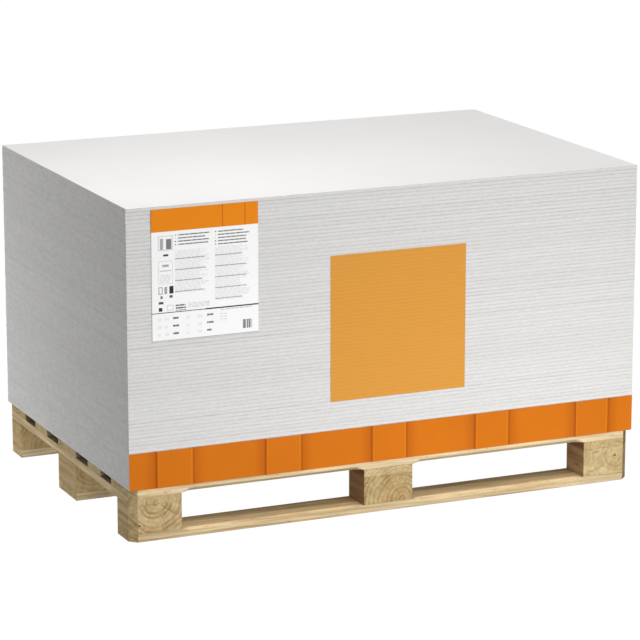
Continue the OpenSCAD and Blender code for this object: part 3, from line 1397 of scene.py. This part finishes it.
    def inward(self, face: Face, axis: int) -> bool:
        """Tell whether a face looks along an axis and into the pallet.

        Args:
            face: the face.
            axis: the axis, X or Y.

        Returns:
            Whether there is still pallet a clear way in front of it.
        """
        least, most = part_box("deck_board_front")[0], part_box("deck_board_back")[1]
        way = face.normal[axis]
        beside = face.center[axis] + math.copysign(self.clear[axis], way)
        return abs(way) > self.looks_inward and least[axis] < beside < most[axis]

    def takes_shade_and_light(self, name: str, face: Face) -> bool:
        """Tell whether a face takes painted shade, as it looks into the pallet or is a cross board's top, or
        painted light, as it looks up from a base board.

        Args:
            name: the CAD node's name.
            face: the face.

        Returns:
            Whether the face takes that painted shade or light.
        """
        if name.startswith("block_"):
            return self.inward(face, 0)
        if name.startswith("deck_"):
            return self.inward(face, 1)
        return face.normal.z > (self.looks_up_bevelled if name.startswith("base_") else self.looks_up)

    def apart(self, name: str, face: Face) -> bool:
        """Tell whether a face takes a painted shade of its own.

        Such faces are the flanks of the cross boards that look into the pallet and the corner cuts at
        the right.

        Args:
            name: the CAD node's name.
            face: the face.

        Returns:
            Whether the face takes that painted shade.
        """
        corner = face.normal.x > self.looks_across and face.normal.y < -self.looks_across
        return corner or (name.startswith("cross_") and self.inward(face, 0))

    def cutter(self, name: str) -> Piece | None:
        """Make the shape of the holes in a piece.

        Args:
            name: the CAD node's name.

        Returns:
            An object to cut with, or nothing.
        """
        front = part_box(name)[0].y
        mesh = bmesh.new()
        for owner, x, z, reach in self.pits:
            if owner == name:
                self.gouge(mesh, Vector((x, front, z)), reach)
        for owner, path in self.splits:
            if owner == name:
                self.split(mesh, path, front)
        if name.startswith("base_board_"):
            for spot in self.nail_spots(name):
                self.dimple(mesh, spot)
        if not mesh.verts:
            mesh.free()
            return None
        return link("cutter", mesh)

    def gouge(self, mesh: Mesh, spot: Vector, reach: float) -> None:
        """Add a rough hole for a lost knot.

        Args:
            mesh: the mesh to add to.
            spot: the hole's place on the face.
            reach: the hole's radius.
        """
        made = bmesh.ops.create_icosphere(mesh, subdivisions=2, radius=reach)
        chance = random.Random(f"{self.seed}-{reach}")
        for vertex in made["verts"]:
            vertex.co *= chance.uniform(*self.pit_rough)
            vertex.co *= Vector(self.pit_stretch)
        bmesh.ops.translate(mesh, verts=made["verts"], vec=spot)

    def split(self, mesh: Mesh, path: tuple[Pair, ...], front: float) -> None:
        """Add an open drying split, widest in its middle and closing inwards.

        Args:
            mesh: the mesh to add to.
            path: the split's X and Z from end to end, in millimetres.
            front: the face's Y.
        """
        thin = self.split_wide * self.split_foot
        mouth, foot = -self.split_wide, self.split_deep
        rows = []
        for i, (x, z) in enumerate(path):
            wide = self.split_wide * (self.split_end + math.sin(math.pi * i / (len(path) - 1)))
            spots = ((mouth, -wide), (mouth, wide), (foot, thin), (foot, -thin))
            rows.append([mesh.verts.new((x * MM, front + dy, z * MM + dz)) for dy, dz in spots])
        bridge(mesh, rows, closed=True, smooth=False)
        bmesh.ops.recalc_face_normals(mesh, faces=mesh.faces)

    def dimple(self, mesh: Mesh, spot: Vector) -> None:
        """Add the shallow hollow that a nail head lies in.

        Args:
            mesh: the mesh to add to.
            spot: the nail's place on the underside.
        """
        mouth, floor = self.nail_hole
        made = bmesh.ops.create_cone(
            mesh, cap_ends=True, segments=self.nail_hole_sides, radius1=mouth, radius2=floor,
            depth=2.0 * self.nail_hole_deep,
        )
        bmesh.ops.translate(mesh, verts=made["verts"], vec=spot)

    def nail_spots(self, name: str) -> list[Vector]:
        """Place the nails under a base board, three to a block.

        Args:
            name: the base board's CAD node.

        Returns:
            The nails' places on the underside.
        """
        low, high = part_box(name)
        row = name.split("_")[-1]
        spots = []
        for column in COLUMNS:
            least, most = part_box(f"block_{row}_{column}")
            middle = Vector(((least.x + most.x) / 2.0, (low.y + high.y) / 2.0, low.z))
            for dx, dy in self.nail_places:
                spots.append(middle + Vector((dx * self.nail_spread[0], dy * self.nail_spread[1], 0.0)))
        return spots


@dataclass
class PalletNails:
    """The nail heads under the base boards.

    A row of the profile is a share of the head's radius and a height in crowns.
    """

    pallet: Pallet
    finish: SteelFinish
    head: float = 4.6 * MM
    crown: float = 0.45 * MM
    profile: tuple[Pair, ...] = ((0.55, 0.0), (1.0, 1.0), (0.97, 2.4), (0.45, 2.6), (0.45, 6.0))
    sunk: float = 0.35 * MM
    sides: int = 14
    seed: int = 5

    def build(self) -> None:
        """Build all the nail heads as one piece."""
        spots = bmesh.new()
        for row in ROWS:
            for spot in self.pallet.nail_spots("base_board_" + row):
                spots.verts.new(spot + Vector((0.0, 0.0, self.sunk)))
        piece = link("base_nails", spots)
        pattern = self.pattern()
        finish = self.finish.material()
        self.tree().run(piece, Head=pattern, Turn=math.tau, Seed=self.seed, Finish=finish)
        bpy.data.objects.remove(pattern)
        hand_over(piece, None)

    def pattern(self) -> Piece:
        """Make one low crowned nail head with a short shank, facing down.

        Returns:
            The pattern head, its crown at the origin.
        """
        turns = [math.tau * i / self.sides for i in range(self.sides)]
        mesh = bmesh.new()
        rings = []
        for share, rise in self.profile:
            reach, height = self.head * share, self.crown * rise
            ring = [(reach * math.cos(turn), reach * math.sin(turn), height) for turn in turns]
            rings.append([mesh.verts.new(place) for place in ring])
        bridge(mesh, rings, closed=True, smooth=False)
        return link("nail_pattern", mesh)

    def tree(self) -> ShapeTree:
        """Build the tree that sets a turned head at each spot.

        Returns:
            The tree.
        """
        tree = ShapeTree("set_nails")
        head, turn, seed, finish = tree.ask(
            Head=Input.PIECE, Turn=Input.LENGTH, Seed=Input.COUNT, Finish=Input.FINISH
        )
        way = tree.bench.add("ShaderNodeCombineXYZ", {2: tree.draw(turn, seed)}).outputs[0]
        tree.end(tree.scatter(head, Rotation=way), finish)
        return tree


@dataclass
class FrontBand:
    """The orange card band along the foot of the stack, folded proud at its five panels."""

    nodes: dict[str, Piece]
    finish: CardFinish
    node: str = "band"
    thick: float = 0.5 * MM
    fold: float = 3.0 * MM
    fold_shares: tuple[float, ...] = (0.0, 0.25, 0.5, 0.75, 1.0)
    longest: float = 14.0 * MM
    rows: int = 8
    sag: float = 0.25 * MM
    sag_share: float = 0.6
    sag_waves: float = 9.0
    panel_near: float = 1e-5

    def build(self) -> None:
        """Build the folded band."""
        low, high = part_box(self.node)
        panels = self.panels(low.y)
        across = self.columns(low.x, high.x, panels)
        flat = high.y - self.thick
        mesh = bmesh.new()
        fold = mesh.verts.layers.float.new("fold")
        grid = []
        for i in range(self.rows + 1):
            share = i / self.rows
            row = []
            for x in across:
                away = min(max(start - x, x - end) for start, end in panels)
                lift = 1.0 - ease(away / self.fold)
                wave = self.sag * (math.sin(x * self.sag_waves) * 0.5 + 0.5) * math.sin(math.pi * share)
                y = flat + (low.y - flat) * lift + (wave - self.sag) * (1.0 - lift) * self.sag_share
                vertex = mesh.verts.new((x, y, low.z + (high.z - low.z) * share))
                vertex[fold] = away
                row.append(vertex)
            grid.append(row)
        bridge(mesh, grid, closed=False, smooth=True)
        piece = thicken(link("front_band", mesh, self.finish.material()), self.thick)
        hand_over(piece, "band_card", self.node)

    def panels(self, front: float) -> list[Span]:
        """Find where the CAD band stands proud.

        Args:
            front: the proud panels' Y.

        Returns:
            Each panel's first and last X.
        """
        points = (vertex.co for vertex in self.nodes[self.node].data.vertices)
        places = sorted({round(co.x, 5) for co in points if co.y < front + self.panel_near})
        return list(zip(places[0::2], places[1::2]))

    def columns(self, start: float, end: float, panels: list[Span]) -> list[float]:
        """Divide the band's length so that each fold keeps its shape.

        Args:
            start: the band's first X.
            end: the band's last X.
            panels: each panel's first and last X.

        Returns:
            The columns' places.
        """
        marks = [start, end]
        for left, right in panels:
            for share in self.fold_shares:
                marks.append(left - self.fold * share)
                marks.append(right + self.fold * share)
        marks = sorted(marks)
        places = [start]
        for first, second in zip(marks, marks[1:]):
            places.extend(steps(first, second, self.longest)[1:])
        return places


@dataclass
class FrontSquare:
    """The amber film square on the front, drawn a little into the sheets' joints."""

    joints: list[float]
    finish: FilmFinish
    node: str = "square"
    reach: float = 1.6 * MM
    dip_shares: tuple[float, ...] = (-1.0, -0.4, 0.4, 1.0)
    depth: float = 0.12 * MM
    margin: float = 0.2 * MM
    column: float = 25.0 * MM

    def build(self) -> None:
        """Build the film."""
        low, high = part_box(self.node)
        heights = [low.z, high.z]
        for joint in self.joints:
            for share in self.dip_shares:
                place = joint + share * self.reach
                if low.z + self.margin < place < high.z - self.margin:
                    heights.append(place)
        across = steps(low.x, high.x, self.column)
        mesh = bmesh.new()
        dip = mesh.verts.layers.float.new("dip")
        grid = []
        for z in sorted(heights):
            away = min(abs(z - joint) for joint in self.joints)
            sunk = 1.0 - ease(away / self.reach)
            row = [mesh.verts.new((x, low.y + self.depth * sunk, z)) for x in across]
            for vertex in row:
                vertex[dip] = sunk
            grid.append(row)
        bridge(mesh, grid, closed=False, smooth=True)
        piece = thicken(link("front_square", mesh, self.finish.material()), high.y - low.y)
        hand_over(piece, "square_film", self.node)


@dataclass
class FrontLabel:
    """The paper label near the front's top left corner, its lower corners lifting slightly.

    The print is laid out in millimetres from the label's top left corner.
    """

    finish: LabelFinish
    node: str = "label"
    thick: float = 0.25 * MM
    curl: float = 0.5 * MM
    curl_left: float = 0.4
    curl_reach: float = 45.0 * MM
    step: float = 8.0 * MM
    singles: tuple[Print, ...] = (
        Print(Mark.SOLID, 0.0, 274.0, 150.0, 2.2, 0.95),
        Print(Mark.SOLID, 150.0, 273.2, 150.0, 3.6, 1.0),
        Print(Mark.LINES, 67.0, 256.0, 30.0, 16.0, 0.88, 7.0, 0.58, 0.1, 0.5),
        Print(Mark.LINES, 103.0, 254.0, 60.0, 14.0, 0.3, 3.6, 0.6),
        Print(Mark.LINES, 191.0, 279.5, 90.0, 2.5, 0.6, 2.5, 0.7, 0.0),
        Print(Mark.LINES, 191.0, 291.0, 24.0, 22.0, 0.25, 7.0, 0.4),
        Print(Mark.LINES, 24.0, 174.0, 33.0, 22.0, 0.28, 4.4, 0.5),
        Print(Mark.BARS, 254.5, 313.0, 27.0, 24.0, 0.78, 1.3, 0.66),
    )
    columns: tuple[tuple[float, int], ...] = ((66.0, 4), (178.0, 5))
    heading_top: float = 70.0
    heading_pitch: float = 8.35
    text_top: float = 112.0
    title_top: float = 133.0
    text_pitch: float = 29.0
    table_top: float = 288.5
    table_high: float = 55.0
    table_pitch: float = 20.5
    table: tuple[Quad, ...] = (
        (16.0, 12.0, 0.13, 0.4), (36.0, 12.0, 0.13, 0.4), (97.0, 12.0, 0.12, 0.4),
        (127.0, 18.0, 0.12, 0.4), (59.0, 19.0, 0.86, 0.25), (154.0, 19.0, 0.82, 0.24),
    )
    blocks: tuple[Quint, ...] = (
        (25.0, 78.0, 9.0, 29.0, 0.6), (42.0, 80.0, 15.0, 27.0, 0.8), (34.0, 120.0, 14.0, 5.0, 1.0),
        (31.0, 147.0, 18.0, 6.0, 0.6), (24.0, 162.0, 32.0, 3.0, 0.4), (36.0, 206.0, 8.0, 19.0, 0.6),
        (50.0, 205.0, 11.5, 20.0, 1.0), (25.0, 230.0, 6.0, 7.0, 0.9), (50.0, 229.0, 9.0, 7.0, 0.9),
        (20.0, 245.0, 13.0, 6.5, 0.95), (20.0, 261.0, 10.0, 9.5, 1.0),
    )
    frames: tuple[Quint, ...] = (
        (20.0, 71.0, 41.0, 39.0, 0.4), (20.0, 137.0, 40.0, 62.0, 0.25), (20.0, 206.0, 11.0, 19.0, 0.85),
        (43.0, 255.0, 18.0, 15.0, 0.35),
    )
    frame_wide: float = 1.8

    def build(self) -> None:
        """Build the label."""
        low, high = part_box(self.node)
        across = steps(low.x, high.x, self.step)
        mesh = bmesh.new()
        sheet = mesh.verts.layers.float_vector.new("sheet")
        grid = []
        for z in steps(low.z, high.z, self.step):
            row = []
            for x in across:
                vertex = mesh.verts.new((x, low.y - self.lift(x, z, low, high), z))
                vertex[sheet] = Vector((x - low.x, high.z - z, 0.0)) / MM
                row.append(vertex)
            grid.append(row)
        bridge(mesh, grid, closed=False, smooth=True)
        piece = thicken(link("front_label", mesh, self.finish.material(self.marks())), self.thick)
        hand_over(piece, "label_paper", self.node)

    def lift(self, x: float, z: float, low: Vector, high: Vector) -> float:
        """Say how far the paper stands off at a place.

        Args:
            x: the place along the label.
            z: the place's height.
            low: the label's lowest corner.
            high: the label's highest corner.

        Returns:
            The lift, at the lower right corner most.
        """
        right = ease(1.0 - math.hypot(high.x - x, z - low.z) / self.curl_reach)
        left = ease(1.0 - math.hypot(x - low.x, z - low.z) / self.curl_reach)
        return self.curl * (right * right + self.curl_left * left ** 2)

    def marks(self) -> list[Print]:
        """Lay out the label's plain marks.

        Returns:
            The marks, from the first to the last.
        """
        marks = list(self.singles)
        top, pitch = self.heading_top, self.heading_pitch
        for left, rows in self.columns:
            high = pitch * rows
            bullets = Print(Mark.LINES, left, top, 4.0, high, 0.85, pitch, cover=0.34, ragged=0.0)
            heads = Print(Mark.LINES, left + 9.0, top, 90.0, high, 0.82, pitch, cover=0.38, gap=0.4)
            high = self.text_pitch * rows
            body = (left, self.text_top, 98.0, high - 3.0)
            text = Print(Mark.LINES, *body, dark=0.19, pitch=3.2, cover=0.62, ragged=0.3)
            body = (left, self.title_top, 90.0, high - 20.0, 0.68, self.text_pitch)
            titles = Print(Mark.LINES, *body, cover=0.08, ragged=0.15, gap=0.3)
            marks.extend((bullets, heads, text, titles))
        for left, wide, dark, cover in self.table:
            cell = (left, self.table_top, wide, self.table_high)
            marks.append(Print(Mark.LINES, *cell, dark, self.table_pitch, cover, 0.3, 0.3))
        marks.extend(Print(Mark.SOLID, *block) for block in self.blocks)
        marks.extend(Print(Mark.FRAME, *frame, cover=self.frame_wide) for frame in self.frames)
        return marks


@dataclass(frozen=True)
class Softbox:
    """A large soft lamp that the camera doesn't see."""

    name: str
    place: Triple
    aim: Triple
    wide: float
    high: float
    power: float

    def hang(self) -> None:
        """Hang the lamp and turn it to what it lights."""
        lamp = bpy.data.lights.new(self.name, "AREA")
        lamp.shape = "RECTANGLE"
        lamp.size = self.wide
        lamp.size_y = self.high
        lamp.energy = self.power
        box = stand(self.name, lamp)
        box.location = self.place
        away = Vector(self.place) - Vector(self.aim)
        box.rotation_euler = away.to_track_quat("Z", "Y").to_euler()
        box.visible_camera = False


@dataclass(frozen=True)
class SoftSun:
    """A wide, even light from far away."""

    name: str
    toward: Triple
    power: float
    spread: float = 60.0

    def hang(self) -> None:
        """Hang the light and turn it."""
        lamp = bpy.data.lights.new(self.name, "SUN")
        lamp.energy = self.power
        lamp.angle = math.radians(self.spread)
        sun = stand(self.name, lamp)
        sun.rotation_euler = Vector(self.toward).to_track_quat("Z", "Y").to_euler()


@dataclass
class Studio:
    """The pale floor, the soft light and the camera."""

    lamps: tuple[SoftSun | Softbox, ...] = (
        SoftSun("overhead", (0.0, 0.0, 1.0), 0.872),
        SoftSun("front_high", (0.1, -1.0, 0.7), 1.5),
        Softbox("left_far", (-2.8, 1.6, 0.4), (-0.75, 0.3, 0.35), 1.6, 0.8, 10.7),
        Softbox("left_low", (-2.0, 1.2, 0.05), (-0.75, 0.4, 0.25), 1.0, 0.3, 10.2),
        Softbox("front_low", (0.7, -1.9, 0.05), (0.45, -0.5, 0.3), 1.6, 0.3, 16.0),
        Softbox("front_low_left", (-0.5, -2.1, 0.05), (-0.3, -0.5, 0.3), 1.6, 0.3, 7.3),
        Softbox("top_front", (-0.3, -0.35, 2.0), (-0.3, -0.35, 0.9), 1.4, 0.4, 3.3),
        Softbox("top_left", (-0.6, -0.4, 1.8), (-0.6, -0.4, 0.9), 0.5, 0.5, 0.85),
        Softbox("back_low", (0.5, 3.2, 0.7), (0.0, 0.5, 0.45), 2.4, 1.2, 34.0),
        Softbox("right_low", (3.2, 0.6, 0.7), (0.75, 0.0, 0.45), 1.8, 1.0, 20.0),
        Softbox("bay_front", (-0.70, -0.37, 0.03), (-0.68, -0.07, 0.05), 0.2, 0.04, 0.06),
        Softbox("bay_back", (-0.70, 0.10, 0.03), (-0.68, 0.40, 0.05), 0.2, 0.04, 0.18),
    )
    floor_reach: float = 40.0
    floor_drop: float = 0.3 * MM
    floor_base: float = 0.02
    dome_reach: float = 60.0
    dome_base: float = 0.8
    glow: float = 1.0
    world_glow: float = 0.2315
    eye: Triple = (-3.4901, -7.9026, 2.4994)
    yaw: float = 23.933
    pitch: float = 13.515
    lens: float = 176.516
    sensor: float = 36.0
    sight: Span = (0.1, 200.0)

    def build(self) -> None:
        """Set the floor, the lights, the colours and the camera."""
        self.floor()
        self.dome()
        self.lights()
        self.camera()
        settings = bpy.context.scene.view_settings
        settings.view_transform = "Standard"
        settings.look = "None"
        settings.exposure = 0.0
        settings.gamma = 1.0

    def floor(self) -> None:
        """Lay the pale floor, which sends no light back up under the pallet."""
        mesh = bmesh.new()
        bmesh.ops.create_grid(mesh, x_segments=4, y_segments=4, size=self.floor_reach)
        bmesh.ops.translate(mesh, verts=mesh.verts, vec=Vector((0.0, 0.0, -self.floor_drop)))
        self.backdrop("studio_floor", mesh, self.floor_base, "diffuse", "glossy")

    def dome(self) -> None:
        """Hang a white dome far around, which the camera alone sees."""
        mesh = bmesh.new()
        bmesh.ops.create_icosphere(mesh, subdivisions=3, radius=self.dome_reach)
        self.backdrop("studio_dome", mesh, self.dome_base, "diffuse", "glossy", "transmission", "shadow")

    def backdrop(self, name: str, mesh: Mesh, base: float, *hidden: str) -> None:
        """Stage an evenly glowing shape.

        Args:
            name: the shape's name.
            mesh: the shape.
            base: how much light its surface gives back.
            hidden: the kinds of ray that don't meet it.
        """
        coat = Coat(name, roughness=0.9, specular=0.0)
        coat.fix("Base Color", (base, base, base, 1.0))
        coat.fix("Emission Color", WHITE)
        coat.fix("Emission Strength", self.glow)
        shape = link(name, mesh, coat.material)
        for ray in hidden:
            setattr(shape, "visible_" + ray, False)

    def lights(self) -> None:
        """Hang the lamps and set the dim surroundings."""
        for lamp in self.lamps:
            lamp.hang()
        world = bpy.data.worlds.new("studio_air")
        world.use_nodes = True
        air = world.node_tree.nodes["Background"]
        air.inputs[0].default_value = WHITE
        air.inputs[1].default_value = self.world_glow
        bpy.context.scene.world = world

    def camera(self) -> None:
        """Stand the camera where the photograph was taken from."""
        eye = bpy.data.cameras.new("camera")
        eye.lens = self.lens
        eye.sensor_width = self.sensor
        eye.clip_start, eye.clip_end = self.sight
        tripod = stand("camera", eye)
        tripod.location = self.eye
        tripod.rotation_euler = (math.radians(90.0 - self.pitch), 0.0, -math.radians(self.yaw))
        bpy.context.scene.camera = tripod


def main() -> None:
    """Load the frame and build each sub-assembly in order."""
    logging.basicConfig(level=logging.INFO, format="%(name)s %(message)s")
    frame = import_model()
    nodes = frame["nodes"]
    Studio().build()
    stack = SheetStack(nodes, GypsumFinish())
    stack.build()
    pallet = Pallet(
        nodes,
        PineFinish(
            "sawn_boards", deep=(0.64, 0.48, 0.265), pale=(0.94, 0.80, 0.55),
            # faces that look into the pallet or lie under the deck take painted shade, as do the inner
            # flanks and corner cuts
            end=(0.79, 0.78, 0.69), shade_and_light=(0.70, 0.73, 0.80), apart=(0.42, 0.31, 0.25),
        ),
        PineFinish(
            "planed_bases", deep=(0.64, 0.494, 0.287), pale=(0.94, 0.80, 0.55),
            # painted light on faces that look up, with painted shade towards the pallet's inside, at the
            # outer ends and on the corner cuts
            end=(0.80, 0.75, 0.60), shade_and_light=(1.35, 1.32, 1.29), apart=(0.5, 0.47, 0.45), inside_shade=0.5, end_shade=0.88,
        ),
        PineFinish(
            "sawn_blocks", deep=(0.511, 0.373, 0.189), pale=(0.635, 0.488, 0.281),
            # painted shade on faces that look into the pallet and on the corner cuts
            end=(0.97, 0.98, 0.95), shade_and_light=(0.83, 0.70, 0.70), apart=(0.5, 0.47, 0.45),
            late=(0.54, 0.44, 0.32), ring=12.5 * MM, warp=14.0 * MM, ripple=3.6 * MM,
            side_figure=0.5, blush=(0.90, 0.84, 0.76), bleach=(1.07, 1.10, 1.11),
        ),
    )
    pallet.build()
    PalletNails(pallet, SteelFinish()).build()
    FrontBand(nodes, CardFinish()).build()
    FrontSquare(stack.joints(), FilmFinish()).build()
    FrontLabel(LabelFinish()).build()


if __name__ == "__main__":
    main()
